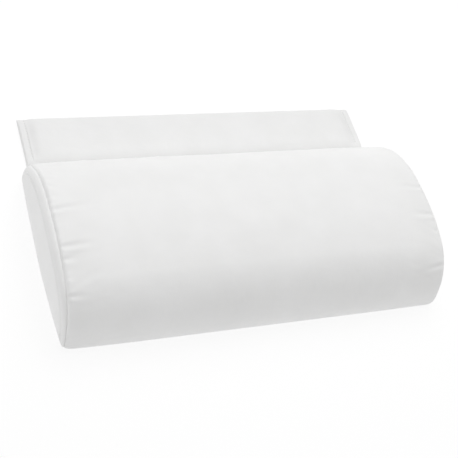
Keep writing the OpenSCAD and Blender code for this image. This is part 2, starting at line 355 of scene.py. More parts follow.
def cloth_material():
    """Plain-woven grey lining."""
    n = Nodes("grey_lining")
    weave = n.maths("MULTIPLY", n.waves(400, "X"), n.waves(400, "Y"))
    mixed = n.maths("ADD", weave, n.noise(60, 3))
    n.tones(n.spread(mixed, 0, 1, 0.2, 1.2), (0.34, 0.34, 0.35), (0.5, 0.5, 0.51))
    return n.finish(n.bump(weave, 0.12), 0.85)


def steel_material():
    """Flat steel bar with mill scale and rubbed patches."""
    n = Nodes("bar_steel")
    scale = n.noise(130, 6, 0.65)
    drawn = n.waves(900, "Y", distortion=6)
    n.tones(n.spread(scale, 0, 1), (0.17, 0.17, 0.18), (0.36, 0.35, 0.34))
    return n.finish(n.bump(scale, 0.06, over=n.bump(drawn, 0.02)), n.spread(scale, 0.38, 0.62), Metallic=1.0)


VINYL = vinyl_material("white_vinyl", 1)
# The flap's copy of the same vinyl is 3.5 % darker all over: painted shade for the duller light on the flap
# and its web
FLAP_VINYL_PAINTED_SHADE = vinyl_material("white_vinyl_flap_painted_shade", 0.965)
THREAD = thread_material()
TAPE = tape_material()
PLASTIC = plastic_material()
METAL = metal_material()
FOAM = foam_material()
FIBRE = fibre_material()
CLOTH = cloth_material()
STEEL = steel_material()

# ---------------------------------------------------------------- section of the bolster

PANEL_LOW, PANEL_HIGH = box_mm("main_panel")
LOW_Y = PANEL_LOW[1]
TIP_Y = PANEL_HIGH[1]
END_BULGE = 4.1
SEAM_INSIDE = 1.75
SEAM_X = box_mm("end_panel_right")[1][0] - SEAM_INSIDE
COVER_T = 1.2
TURNS = np.radians([-90, 0, 35, 80, 104, 180])
RADII = [10, 45, 95, 250, 64]
LOWER_R = 8
UPPER_EDGE_Y = TIP_Y - RADII[0]
LOWER_EDGE_Y = LOW_Y + LOWER_R


def along(angle):
    return np.array([math.cos(angle), math.sin(angle)])


def front_outline(step):
    """Points, outward normals and path lengths of the front, from the upper back edge over
    the crown to the lower back edge."""
    centre = np.array([UPPER_EDGE_Y, RADII[0]], float)
    points, normals = [], []

    def arc(middle, radius, start, end):
        count = max(3, round(radius * (end - start) / step))
        for i in range(count):
            normal = along(start + (end - start) * i / count)
            points.append(middle + radius * normal)
            normals.append(normal)

    for k, radius in enumerate(RADII):
        if k:
            centre = centre + (RADII[k - 1] - radius) * along(TURNS[k])
        arc(centre, radius, TURNS[k], TURNS[k + 1])
    points.append(np.array([LOW_Y, centre[1]]))
    normals.append(np.array([-1.0, 0.0]))
    arc(np.array([LOWER_EDGE_Y, LOWER_R]), LOWER_R, math.pi, 1.5 * math.pi)
    points.append(np.array([LOWER_EDGE_Y, 0.0]))
    normals.append(np.array([0.0, -1.0]))
    points = np.array(points)
    return points, np.array(normals), path_lengths(points)


FRONT, FRONT_NORMAL, FRONT_S = front_outline(1.3)
FRONT_LEN = FRONT_S[-1]

# How far the cover pulls in at each end seam, and over what width it rounds down to it, at
# stations along the front. The right end is stuffed fuller and pulls in less. A share of the
# pull is spread out along the cover, as a slow taper.
DROP_AT = [0, 12, 45, 65, 90, 120, 190, 255, 290, 312, 322]
DROP = [2.2, 2.6, 3.2, 4.8, 7.3, 8.5, 9.0, 9.8, 8.8, 4.0, 2.2]
ROUND = [12, 7, 4, 3.5, 3.5, 3.5, 3.5, 4, 6, 12, 12]
RIGHT_DROP = [2.2, 2.6, 4.4, 5.6, 6.4, 6.7, 6.4, 7.2, 6.4, 3.0, 2.2]
TABLE_SPREAD = 9
TAPER_SHARE = 0.74
TAPER_LEN = 95
BACK_DROP = 2.2
BACK_ROUND = 12
STEEPEST = 0.92
SEAM_GROOVE = 0.9
GROOVE_W = 1.8
CALM_LEN = 25

# Puckers that run in from the end seams: side, station along the front, length, depth, and
# how far the pucker drifts along the front over its length.
PUCKERS = [
    (-1, 142, 56, 1.25, -5),
    (-1, 187, 54, 1.0, -1),
    (-1, 201, 24, 0.8, 1),
    (-1, 242, 40, 0.7, 1),
    (-1, 107, 16, 0.6, 2),
    (-1, 123, 14, 0.5, -2),
    (-1, 222, 18, 0.4, 2),
    (1, 147, 52, 0.8, -5),
    (1, 186, 44, 0.9, -3),
    (1, 208, 18, 0.4, -2),
    (1, 250, 54, 1.0, 8),
    (1, 118, 22, 0.3, 2),
]
PUCKER_W = 2.3
# Each pucker has a ridge on both sides, this many widths away
RIDGE_AT = 2.1
RIDGE_AHEAD = 0.6
RIDGE_BEHIND = 0.3
GATHER_DEPTH = 0.2
GATHER_LEN = 13


def shoulder(u, width):
    """1 at the seam, and 0 from width on."""
    t = np.clip(1 - u / width, 0, 1) * STEEPEST
    return (1 - np.sqrt(1 - t * t)) / (1 - math.sqrt(1 - STEEPEST ** 2))


def groove(distance):
    return SEAM_GROOVE * np.clip(1 - distance / GROOVE_W, 0, 1) ** 2


def pucker_depth(s, x):
    u = SEAM_X - np.abs(x)
    depth = np.zeros(np.broadcast(s, x).shape)
    for side, at, length, deep, drift in PUCKERS:
        here = np.where(np.sign(x) == side, np.clip(u / length, 0, 1), 1)
        fade = (1 - here ** 2) ** 2 * (0.55 + 0.45 * smoothstep(u / 6))
        off = s - at - drift * here
        width = PUCKER_W * (1 + 0.7 * here)
        fold = (bell(off, width) - RIDGE_AHEAD * bell(off - RIDGE_AT * width, width)
                - RIDGE_BEHIND * bell(off + RIDGE_AT * width, width))
        depth += deep * fade * fold
    near = np.clip(1 - u / GATHER_LEN, 0, 1) ** 2
    gathers = np.sin(s * 0.53 + 1.7 * np.sin(s * 0.11 + 2 * np.sign(x))) + 0.6 * np.sin(s * 0.91 + 1.1)
    return depth + GATHER_DEPTH * near * gathers


def unevenness(s, x):
    """The slow waviness of hand-stuffed fabric."""
    return (0.22 * np.sin(x * 0.021 + 0.9) * np.sin(s * 0.031 + 0.4)
            + 0.14 * np.sin(x * 0.047 - 1.3) * np.sin(s * 0.063 + 2.1)
            + 0.07 * np.sin(x * 0.11 + 0.5) * np.sin(s * 0.083 + x * 0.02))


def seam_drop(s, x):
    left = smooth_table(s, DROP_AT, DROP, TABLE_SPREAD)
    right = smooth_table(s, DROP_AT, RIGHT_DROP, TABLE_SPREAD)
    return np.where(x > 0, right, left)


def cover_inset(s, x, detail=True):
    """Depth of the front cover below the plain section, at path length s and place x."""
    u = SEAM_X - np.abs(x)
    drop = seam_drop(s, x)
    width = smooth_table(s, DROP_AT, ROUND, TABLE_SPREAD)
    tight = shoulder(u, width)
    taper = np.clip(1 - u / TAPER_LEN, 0, 1) ** 2
    inset = BACK_DROP * tight + (drop - BACK_DROP) * (tight + (taper - tight) * TAPER_SHARE)
    if detail:
        calm = smoothstep(s / CALM_LEN) * smoothstep((FRONT_LEN - s) / CALM_LEN)
        inset = inset + groove(u) + calm * (pucker_depth(s, x) + unevenness(s, x))
    return inset


EDGE_U = np.array([0, 0.3, 0.7, 1.2, 1.8, 2.6, 3.6, 4.8, 6.2, 8, 10, 12.5, 15.5, 19, 23, 27.5, 32.5, 38])
LENGTHWISE = both_sides(SEAM_X - EDGE_U, 90)


def along_front(inset, x, rows=slice(None)):
    """Points on the front at that depth: rows follow the section, columns follow x."""
    yz = FRONT[rows, None] - FRONT_NORMAL[rows, None] * inset[..., None]
    return np.concatenate([np.broadcast_to(x, inset.shape)[..., None], yz], -1)


# ---------------------------------------------------------------- cover: cloth simulation

SIM_U = [0, 3, 6, 9, 12.5, 16.5, 21, 26, 32, 38.5, 46]
SIM_MIDDLE = 64
SIM_FRAMES = 20
SIM_PRESSURE = 2.5
SIM_SLACK = 0.35
FOAM_HOLD = 0.1
SWELL_CAP = 1.5
STEADY_FROM = 90
READ_SPREAD = 1.6


def simulated(start, rest, hold):
    """Where the points of a sheet come to rest under pressure. rest is the shape that the sheet
    was cut for, and hold says how firmly each point is kept in place, from 0 to 1."""
    obj = grid_object("sim_sheet", start, flip=True)
    obj.shape_key_add(name="drawn")
    cut = obj.shape_key_add(name="cut")
    cut.data.foreach_set("co", (rest.reshape(-1, 3) * MM).ravel())
    group = obj.vertex_groups.new(name="held")
    for weight in np.unique(hold):
        group.add(np.flatnonzero(hold.ravel() == weight).tolist(), float(weight), "REPLACE")
    cloth = obj.modifiers.new("cloth", "CLOTH")
    cloth.point_cache.frame_start = 1
    cloth.point_cache.frame_end = SIM_FRAMES
    settings = cloth.settings
    settings.quality = 6
    settings.mass = 0.05
    settings.tension_stiffness = 25
    settings.compression_stiffness = 25
    settings.shear_stiffness = 8
    settings.bending_stiffness = 0.4
    settings.use_pressure = True
    settings.uniform_pressure_force = SIM_PRESSURE
    settings.effector_weights.gravity = 0
    settings.vertex_group_mass = "held"
    settings.rest_shape_key = cut
    for step in range(1, SIM_FRAMES + 1):
        SCENE.frame_set(step)
    mesh = obj.evaluated_get(bpy.context.evaluated_depsgraph_get()).data
    points = np.empty(len(mesh.vertices) * 3)
    mesh.vertices.foreach_get("co", points)
    mesh = obj.data
    bpy.data.objects.remove(obj)
    bpy.data.meshes.remove(mesh)
    SCENE.frame_set(1)
    return points.reshape(start.shape) / MM


def simulate_cover():
    """Stations, places along x and heights by which the cover swells or puckers there."""
    x = both_sides(SEAM_X - np.array(SIM_U), SIM_MIDDLE)
    rows = slice(None, None, 2)
    s = FRONT_S[rows, None]
    inset = cover_inset(s, x[None, :], detail=False) + pucker_depth(s, x[None, :])
    path = path_lengths(np.column_stack([x, inset[len(s) // 2]]))
    start = along_front(inset, x, rows)
    cut = along_front(inset * (1 - SIM_SLACK), path - path[-1] / 2, rows)
    hold = np.full(inset.shape, FOAM_HOLD)
    hold[[0, -1]] = 1
    hold[:, [0, -1]] = 1
    end = simulated(start, cut, hold)
    moved = ((end - start)[..., 1:] * FRONT_NORMAL[rows, None]).sum(-1)
    middle = np.abs(x) < SEAM_X - STEADY_FROM
    moved = moved - moved[:, middle].mean(1, keepdims=True)
    return s[:, 0], x, np.clip(moved, -SWELL_CAP, SWELL_CAP)


def swell_on_panel():
    """The simulated heights at the points of the main panel's own grid."""
    at_s, at_x, height = simulate_cover()
    columns = [smooth_table(FRONT_S, at_s, column, READ_SPREAD) for column in height.T]
    along_s = np.stack(columns, 1)
    return np.stack([smooth_table(LENGTHWISE, at_x, row, READ_SPREAD) for row in along_s])


# ---------------------------------------------------------------- cover: front

WEB_T = 1.2
WEB_CLEAR = 0.05
OVER_WEB = 12


def make_main_panel():
    s = FRONT_S[:, None]
    x = LENGTHWISE[None, :]
    swell = swell_on_panel() * smoothstep((SEAM_X - np.abs(x)) / 3)
    inset = cover_inset(s, x) - swell + groove(s) + groove(FRONT_LEN - s)
    points = along_front(inset, x)
    rests_on = np.where(FRONT_S < OVER_WEB, WEB_T + WEB_CLEAR, 0)[:, None]
    points[..., 2] = np.maximum(points[..., 2], rests_on)
    obj = grid_object("cover_main_panel", points, flip=True)
    thicken(obj, COVER_T)
    finish_piece(obj, "bolster", VINYL)
    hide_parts("main_panel")


make_main_panel()

# ---------------------------------------------------------------- cover: end panels

SPINE_IN = 45.4
SPINE_Y = (LOW_Y + SPINE_IN, TIP_Y - SPINE_IN)
SPINE_Z = 32
RING_D = [0, 0.25, 0.6, 1.1, 1.8, 2.6, 3.5, 4.6, 5.6, 6.2, 6.6, 7, 7.4, 7.8, 8.4, 9.6, 11.5, 14]
INNER_RINGS = 14
LAST_RING = 0.9
STITCH_IN = 7
SEAM_DEPTH = 0.6
END_EDGE = 2.9
END_FULLER = {-1: 2.7, 1: 1.2}
LOW_CORNER = 0.25
PANEL_WAVE = 0.18
END_DOME = END_BULGE + SEAM_DEPTH - END_EDGE
STITCH_DIP = 0.9
EDGE_ROLL = 6.0


def contour(side):
    """The closed line of an end seam: the pulled-in section, and the flat back."""
    drop = seam_drop(FRONT_S, side * SEAM_X) + SEAM_GROOVE
    front = FRONT - FRONT_NORMAL * drop[:, None]
    back_y = np.linspace(LOWER_EDGE_Y, UPPER_EDGE_Y, 82)[1:-1]
    back = np.stack([back_y, np.full(len(back_y), BACK_DROP + SEAM_GROOVE)], -1)
    return np.concatenate([front, back])


def end_rings(side):
    """Points in y and z, and the outward bulge, of rings from an end seam inwards."""
    seam = contour(side)
    spine = np.stack([np.clip(seam[:, 0], *SPINE_Y), np.full(len(seam), SPINE_Z)], -1)
    ray = spine - seam
    edge = np.roll(seam, -1, 0) - np.roll(seam, 1, 0)
    inward = np.stack([-edge[:, 1], edge[:, 0]], -1)
    inward /= np.linalg.norm(inward, axis=1)[:, None]
    reach = np.abs((ray * inward).sum(1))
    far = [RING_D[-1] + (reach * LAST_RING - RING_D[-1]) * k / INNER_RINGS
           for k in range(1, INNER_RINGS + 1)]
    depths = [np.full(len(seam), d) for d in RING_D] + far
    rings, bulges = [], []
    for depth in depths:
        share = np.clip(depth / reach, 0, 1)
        rings.append(seam + ray * share[:, None])
        rise = np.sqrt(1 - np.clip(1 - depth / EDGE_ROLL, 0, 1) ** 2)
        along_panel = np.clip((rings[-1][:, 0] - LOW_Y) / (TIP_Y - LOW_Y), 0, 1)
        edge_height = END_EDGE * (0.5 + 0.5 * smoothstep(along_panel / LOW_CORNER))
        edge_height = edge_height + END_FULLER[side] * np.sin(math.pi * along_panel)
        dome = END_DOME * (1 - (1 - share) ** 2.4)
        dip = STITCH_DIP * bell(depth - STITCH_IN, 0.9) * (share < 0.9)
        bulges.append(-SEAM_DEPTH + edge_height * rise + dome - dip)
    return np.array(rings), np.array(bulges)


def cap_faces(ring, first):
    """Triangles across the middle of an end panel, from its front line to its back line."""
    i, j = 0, len(ring) - 1
    faces = []
    while j - i > 1:
        if ring[i + 1, 0] > ring[j - 1, 0]:
            faces.append([first + i, first + i + 1, first + j])
            i += 1
        else:
            faces.append([first + i, first + j - 1, first + j])
            j -= 1
    return faces


def make_end_panel(side, name, node):
    rings, bulges = end_rings(side)
    wave = PANEL_WAVE * np.sin(rings[..., 0] * 0.07 + side) * np.sin(rings[..., 1] * 0.11 + 0.5)
    x = side * (SEAM_X + bulges + wave * smoothstep(bulges / 3))
    points = np.concatenate([x[..., None], rings], -1)
    rows, columns = points.shape[:2]
    points = np.concatenate([points, points[:, :1]], 1)
    faces = grid_faces(rows, columns + 1, flip=side > 0)
    faces.extend(face[::-side] for face in cap_faces(rings[-1], (rows - 1) * (columns + 1)))
    obj = add_mesh(name, points, faces)
    clean(obj, outward=False)
    thicken(obj, COVER_T)
    finish_piece(obj, "bolster", VINYL)
    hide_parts(node)
    return points[RING_D.index(STITCH_IN), :-1]


# ---------------------------------------------------------------- stitches

STITCH_LEN = 3.0
STITCH_GAP = 0.9
STITCH_R = 0.27
STITCH_SIDES = 8


def stitch_template():
    """One stitch along x with z up: a short thread whose two ends dive into the cover."""
    t = np.array([-1, -0.97, -0.88, -0.7, -0.4, 0, 0.4, 0.7, 0.88, 0.97, 1])
    radius = STITCH_R * np.sqrt(np.clip(1 - t ** 6, 0.02, 1))
    height = STITCH_R * 0.45 - 0.62 * np.abs(t) ** 5
    angle = np.linspace(0, 2 * math.pi, STITCH_SIDES, endpoint=False)[::-1]
    y = np.outer(radius, np.cos(angle))
    z = height[:, None] + np.outer(radius, np.sin(angle))
    return loft(sheet((t * STITCH_LEN / 2)[:, None], y, z))


STITCH_POINTS, STITCH_FACES = stitch_template()


def make_stitches(name, path, normal, body, node, closed=False):
    """A row of stitches along a path, standing on a surface with that outward normal."""
    path = np.asarray(path, float)
    if closed:
        path = np.concatenate([path, path[:1]])
    length = path_lengths(path)
    count = int(length[-1] // (STITCH_LEN + STITCH_GAP))
    pitch = length[-1] / count
    parts = []
    for i in range(count):
        middle = (i + 0.5) * pitch
        ends = [np.array([np.interp(middle + half, length, path[:, k]) for k in range(3)])
                for half in (-STITCH_LEN / 2, STITCH_LEN / 2)]
        ahead = (ends[1] - ends[0]) / np.linalg.norm(ends[1] - ends[0])
        up = normal - ahead * (normal @ ahead)
        up /= np.linalg.norm(up)
        turn = np.stack([ahead, np.cross(up, ahead), up])
        parts.append((STITCH_POINTS @ turn + (ends[0] + ends[1]) / 2, STITCH_FACES))
    obj = add_mesh(name, *joined(parts))
    finish_piece(obj, body, THREAD)
    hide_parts(node)


for side, word in ((-1, "left"), (1, "right")):
    ring = make_end_panel(side, f"cover_end_{word}", f"end_panel_{word}")
    make_stitches(f"stitches_end_{word}", ring, np.array([side, 0.0, 0.0]), "bolster",
                  f"end_topstitch_{word}", closed=True)

# ---------------------------------------------------------------- cover: back panels

ZIP_LOW, ZIP_HIGH = box_mm("zip_tape_upper")
ZIP_Y = (TIP_Y + LOW_Y) / 2
OPENING_HALF = 200.5
OPENING_W = 6.5
CLOSED_W = 0.08
OPENING_CORNER = 3.5
VALLEY_Z = 4.3
VALLEY_FLOOR = 12
VALLEY_MOUTH = 21
VALLEY_END = (208, 225)
ZIP_STITCH = 9.25
ZIP_DIP = 0.22
BACK_RIPPLE = 0.3
STITCH_CLEAR = 8
LIP = [(0.7, 1.25), (0.3, 1.0), (0.05, 0.6), (0.0, 0.35), (0.12, 0.1), (0.45, 0.0),
       (1.0, 0.0), (1.7, 0.0), (2.1, 0.0), (2.4, 0.0), (2.75, 0.0), (3.1, 0.0), (3.4, 0.0), (4.0, 0.0)]


def valley(distance, x):
    deep = 1 - smoothstep((distance - VALLEY_FLOOR + 1) / (VALLEY_MOUTH - VALLEY_FLOOR + 1))
    fade = 1 - smoothstep((np.abs(x) - VALLEY_END[0]) / (VALLEY_END[1] - VALLEY_END[0]))
    return VALLEY_Z * deep * fade


def back_height(y, x):
    """Height of the outer face of the back above the plane it lies on."""
    u = SEAM_X - np.abs(x)
    distance = np.abs(y - ZIP_Y)
    stitched = ZIP_DIP * bell(distance - ZIP_STITCH, 0.9)
    waves = np.sin(x * 0.045 + 0.6) * np.sin(y * 0.06 + 0.3)
    ripple = BACK_RIPPLE * smoothstep((distance - 24) / 20) * (1 + waves) / 2
    return valley(distance, x) + stitched + ripple + BACK_DROP * shoulder(u, BACK_ROUND) + groove(u)


def opening_half(x):
    past = np.clip((np.abs(x) - OPENING_HALF + OPENING_CORNER) / OPENING_CORNER, 0, 1)
    return CLOSED_W + (OPENING_W - CLOSED_W) * np.sqrt(1 - past ** 2)


OPENING_ENDS = np.array([190, 194, 196, 197, 197.8, 198.6, 199.3, 199.9, 200.3, 200.5, 201.5, 204, 208, 212])
BACK_X = np.unique(np.round(np.concatenate([LENGTHWISE, OPENING_ENDS, -OPENING_ENDS]), 2))
TO_EDGE = np.concatenate([np.linspace(0, 0.93, 46)[1:],
                          [0.95, 0.965, 0.975, 0.983, 0.989, 0.994, 0.998, 1.0]])


def make_back_panel(side, name, node, edge_y):
    x = BACK_X[None, :]
    gap = opening_half(x)
    reach = abs(edge_y - ZIP_Y)
    lip, lift = np.array(LIP).T[:, :, None]
    start = gap + lip[-1]
    offset = np.concatenate([gap + lip, start + (reach - start) * TO_EDGE[:, None]])
    lift = np.concatenate([lift, 0 * TO_EDGE[:, None]])
    y = ZIP_Y + side * offset
    points = sheet(x, y, back_height(y, x) + lift + groove(reach - offset))
    obj = grid_object(name, points, flip=side > 0)
    thicken(obj, COVER_T)
    finish_piece(obj, "bolster", VINYL)
    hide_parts(node)
    stitch_x = np.linspace(STITCH_CLEAR - SEAM_X, SEAM_X - STITCH_CLEAR, 240)
    stitch_y = np.full(len(stitch_x), ZIP_Y + side * ZIP_STITCH)
    return np.stack([stitch_x, stitch_y, back_height(stitch_y, stitch_x)], -1)


DOWN = np.array([0.0, 0.0, -1.0])
for side, word, edge_y in ((1, "upper", UPPER_EDGE_Y), (-1, "lower", LOWER_EDGE_Y)):
    row = make_back_panel(side, f"cover_back_{word}", f"back_panel_{word}", edge_y)
    make_stitches(f"stitches_zip_{word}", row, DOWN, "bolster", f"zip_topstitch_{word}")

# ---------------------------------------------------------------- filling

FIBRE_T = 2.2
FIBRE_FOOT = 12
FIBRE_U = 3.2
FIBRE_CLEAR = 0.9
FOAM_U = 4.0
FOAM_CLEAR = 1.0
# The hollow in the foam over the zip: height, half width, and the slope beside it
HOLLOW = (9, 13.5, 4)


def make_fibre_wrap():
    x = LENGTHWISE[(SEAM_X - np.abs(LENGTHWISE)) > FIBRE_U][None, :]
    rows = FRONT[:, 1] >= FIBRE_FOOT
    s = FRONT_S[:, None]
    nearer = np.sign(x) * np.minimum(np.abs(x) + 2.5, SEAM_X)
    tufts = 0.15 * np.sin(s * 0.37 + np.sin(x * 0.13)) * np.sin(x * 0.29 + 0.7)
    inset = cover_inset(s, nearer, detail=False) + COVER_T + FIBRE_CLEAR + np.abs(tufts)
    points = along_front(inset, x)[rows]
    obj = grid_object("wadding_wrap", points, flip=True)
    thicken(obj, FIBRE_T)
    finish_piece(obj, "bolster", FIBRE)
    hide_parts("fibre_wrap")


def make_foam_core():
    x = LENGTHWISE[(SEAM_X - np.abs(LENGTHWISE)) > FOAM_U][None, :]
    s = FRONT_S[:, None]
    nearer = np.sign(x) * np.minimum(np.abs(x) + 3, SEAM_X)
    under_wrap = smoothstep((FRONT[:, 1] - FIBRE_FOOT + 3) / 6)[:, None]
    inset = cover_inset(s, nearer, detail=False) + COVER_T + FOAM_CLEAR + (FIBRE_T + 0.8) * under_wrap
    front = along_front(inset, x)
    y = np.linspace(LOWER_EDGE_Y, UPPER_EDGE_Y, 110)[1:-1, None]
    distance = np.abs(y - ZIP_Y)
    clear = HOLLOW[0] * (1 - smoothstep((distance - HOLLOW[1]) / HOLLOW[2]))
    z = np.maximum(back_height(y, nearer) + COVER_T + FOAM_CLEAR, clear)
    points = np.concatenate([front, sheet(x, y, z)])
    obj = grid_object("foam_block", points, closed=True, caps=True)
    clean(obj)
    finish_piece(obj, "bolster", FOAM)
    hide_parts("foam_core")


make_fibre_wrap()
make_foam_core()

# ---------------------------------------------------------------- lofted small bodies

SHARP_ANGLE = math.radians(50)


def soft_rectangle(half_x, half_y, power=6, count=40):
    """Outline of a rectangle with rounded corners, in x and y round the origin."""
    angle = np.linspace(0, 2 * math.pi, count, endpoint=False)
    c, s = np.cos(angle), np.sin(angle)
    bend = 2 / power
    return np.stack([half_x * np.sign(c) * np.abs(c) ** bend, half_y * np.sign(s) * np.abs(s) ** bend], -1)


def slab(outline, low, high, edge, shift=(0, 0)):
    """A plate between two heights with rounded edges."""
    rings = []
    size = np.abs(outline).max(0)
    for z, inward in ((low, edge), (low + 0.3 * edge, 0.3 * edge), (low + edge, 0),
                      (high - edge, 0), (high - 0.3 * edge, 0.3 * edge), (high, edge)):
        ring = outline * (1 - inward / size) + np.array(shift)
        rings.append(np.column_stack([ring, np.full(len(ring), z)]))
    return loft(rings)


def add_solid(name, parts, body, material, node):
    points, faces = joined(parts)
    obj = add_mesh(name, points, faces)
    clean(obj, merge=0.0001)
    obj.data.set_sharp_from_angle(angle=SHARP_ANGLE)
    finish_piece(obj, body, material)
    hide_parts(node)


# ---------------------------------------------------------------- zip

TAPE_Z = (ZIP_LOW[2] + ZIP_HIGH[2]) / 2
TAPE_HALF_T = 0.3
TAPE_OUT = ZIP_HIGH[1] - ZIP_Y
CORD_AT = 2.6
CORD_R = 0.75
TOOTH_PITCH = 4
TOOTH_HALF_T = 1.3
TEETH_LOW, TEETH_HIGH = box_mm("zip_teeth_upper")
TOOTH_COUNT = int((TEETH_HIGH[0] - TEETH_LOW[0]) // TOOTH_PITCH) - 1
TOOTH_HALF = [(0, -1.2), (0.42, -1.14), (0.72, -0.92), (0.86, -0.55), (0.84, -0.15), (0.68, 0.25),
              (0.54, 0.6), (0.56, 1.0), (0.76, 1.35), (0.98, 1.7), (1.02, 2.4), (0.98, 3.0),
              (0.7, 3.2), (0, 3.2)]


def make_tape(side, word):
    """One zip tape: a flat woven strip with a corded edge."""
    x = np.linspace(ZIP_LOW[0], ZIP_HIGH[0], 180)[None, :]
    across = np.array([1.9, 2.05, 2.3, 2.6, 2.9, 3.2, 3.5, 4, 5.5, 7.5, 9.5, 11.4, 12.3, 12.8, TAPE_OUT])
    cord = np.sqrt(np.clip(CORD_R ** 2 - (across - CORD_AT) ** 2, 0, None))
    half = np.maximum(np.where(across > CORD_AT, TAPE_HALF_T, 0.1), cord)
    half[-1] = 0.12
    loop_y = np.concatenate([across, across[::-1]])
    loop_z = np.concatenate([half, -half[::-1]])
    wave = 0.12 * np.sin(x * 0.09) * smoothstep((loop_y[:, None] - 5) / 8)
    points = sheet(x, ZIP_Y + side * loop_y[:, None], TAPE_Z + loop_z[:, None] + wave)
    obj = grid_object(f"zip_tape_{word}_woven", points, closed=True, caps=True)
    clean(obj)
    finish_piece(obj, "bolster", TAPE)
    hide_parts(f"zip_tape_{word}")


def make_teeth(side, word):
    """One side's row of moulded teeth, each a rounded head on a neck that grips the cord."""
    half = np.array(TOOTH_HALF, float)
    outline = np.concatenate([half, half[-2:0:-1] * [-1, 1]])
    middle = np.array([0, 1.0])
    rings = []
    for z, size in ((-1, 0.84), (-0.94, 0.93), (-0.82, 1), (0.82, 1), (0.94, 0.93), (1, 0.84)):
        ring = (outline - middle) * size + middle
        rings.append(np.column_stack([ring, np.full(len(ring), z * TOOTH_HALF_T)]))
    tooth, faces = loft(rings)
    first = TEETH_LOW[0] + TOOTH_PITCH / 4 + (0 if side > 0 else TOOTH_PITCH / 2)
    parts = []
    for i in range(TOOTH_COUNT):
        place = tooth * [1, side, 1] + [first + i * TOOTH_PITCH, ZIP_Y, TAPE_Z]
        parts.append((place, faces))
    add_solid(f"zip_teeth_{word}_moulded", parts, "bolster", PLASTIC, f"zip_teeth_{word}")


for side, word in ((1, "upper"), (-1, "lower")):
    make_tape(side, word)
    make_teeth(side, word)

SLIDER_LOW, SLIDER_HIGH = box_mm("zip_slider")
SLIDER_X = (SLIDER_LOW[0] + SLIDER_HIGH[0]) / 2
SLIDER_HALF = (SLIDER_HIGH[0] - SLIDER_LOW[0]) / 2
SLIDER_W = (SLIDER_HIGH[1] - SLIDER_LOW[1]) / 2
CHANNEL = 1.5
PLATE_T = 0.7
BRIDGE = [(-3.0, 4.2), (-3.02, 3.2), (-3.0, 2.5), (-2.75, 1.95), (-2.2, 1.68), (-1.2, 1.62), (0, 1.6),
          (1.2, 1.62), (2.2, 1.68), (2.75, 1.95), (3.0, 2.5), (3.02, 3.2), (3.0, 4.2)]


def make_slider():
    plate = soft_rectangle(SLIDER_HALF, SLIDER_W, 5, 56)
    plate[:, 1] *= 0.84 + 0.16 * smoothstep((plate[:, 0] + SLIDER_HALF) / (1.1 * SLIDER_HALF))
    at = (SLIDER_X, ZIP_Y)
    parts = [slab(plate, TAPE_Z - CHANNEL - PLATE_T, TAPE_Z - CHANNEL, 0.2, at),
             slab(plate, TAPE_Z + CHANNEL, TAPE_Z + CHANNEL + PLATE_T, 0.2, at)]
    rail = soft_rectangle(SLIDER_HALF - 1.2, 0.4, 4, 24)
    for side in (-1, 1):
        place = (SLIDER_X, ZIP_Y + side * (SLIDER_W - 0.95))
        parts.append(slab(rail, TAPE_Z - CHANNEL - 0.1, TAPE_Z - CHANNEL + 0.8, 0.12, place))
        parts.append(slab(rail, TAPE_Z + CHANNEL - 0.8, TAPE_Z + CHANNEL + 0.1, 0.12, place))
    wedge = soft_rectangle(1.6, 1.5, 2.6, 24)
    parts.append(slab(wedge, TAPE_Z - CHANNEL - 0.2, TAPE_Z + CHANNEL + 0.2, 0.1,
                      (SLIDER_HIGH[0] - 1.8, ZIP_Y)))
    path = np.array(BRIDGE, float)
    ahead = np.gradient(path, axis=0)
    ahead /= np.linalg.norm(ahead, axis=1)[:, None]
    across = np.stack([-ahead[:, 1], ahead[:, 0]], -1)
    bar = soft_rectangle(0.42, 1.15, 4, 16)
    rings = [np.column_stack([SLIDER_X + p[0] + a[0] * bar[:, 0], ZIP_Y + bar[:, 1],
                              p[1] + a[1] * bar[:, 0]]) for p, a in zip(path, across)]
    parts.append(loft(rings))
    add_solid("zip_slider_cast", parts, "zip_slider", METAL, "zip_slider")


make_slider()

PULL_LOW, PULL_HIGH = box_mm("zip_pull")
PIVOT = np.array([SLIDER_X, ZIP_Y, (PULL_LOW[2] + PULL_HIGH[2]) / 2])
PULL_END = PULL_LOW[0] - PIVOT[0]
PULL_HALF_W = (PULL_HIGH[1] - PULL_LOW[1]) / 2
PULL_HOLE_R = 1.6
PULL_NECK = 2.6
PULL_EDGE = 0.22
PULL_HALF_T = 0.6


